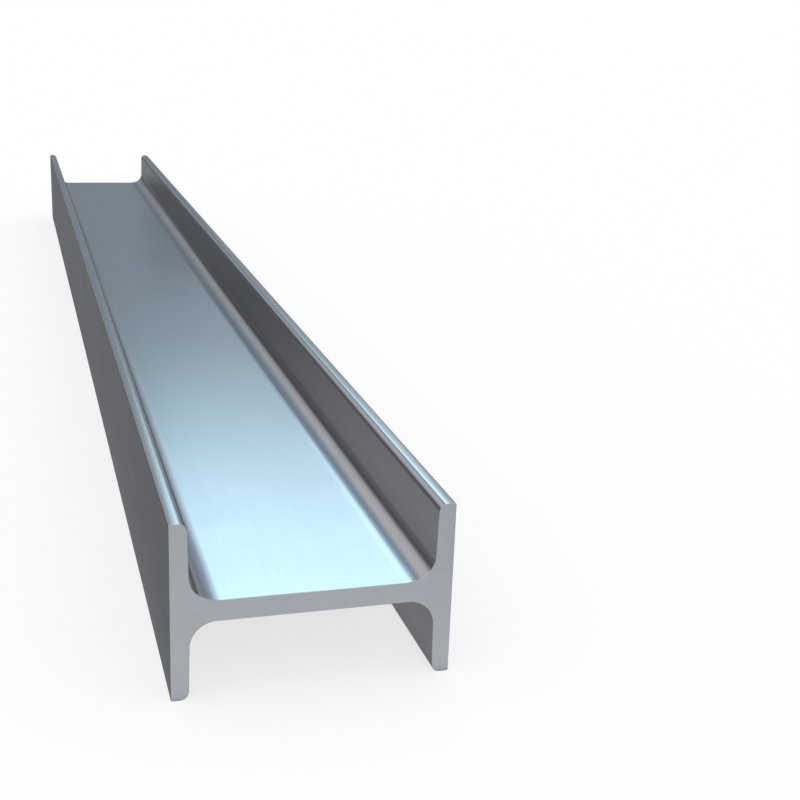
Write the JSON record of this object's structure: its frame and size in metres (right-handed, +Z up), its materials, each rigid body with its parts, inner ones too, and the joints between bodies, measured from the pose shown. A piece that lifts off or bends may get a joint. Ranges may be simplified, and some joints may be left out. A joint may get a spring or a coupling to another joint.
{
  "type": "steel h-beam",
  "caption": "Length of hot-rolled steel H-section: a flat web between two flanges, with hollow roots and rounded toes, sawn square for use as a beam or column.",
  "frame": {"origin": "on the floor at the middle of the footprint, level with the lower flange tips", "axes": "+X along the length, +Y across the section's depth from flange to flange, +Z up along the flange width"},
  "size_m": [1.55, 0.153, 0.1],
  "materials": {
    "steel": "bright, clean rolled steel with a soft satin gloss and faint lengthwise rolling streaks; the sawn ends are matt grey"
  },
  "bodies": {
    "root": {"h_beam": "steel"}
  },
  "joints": []
}
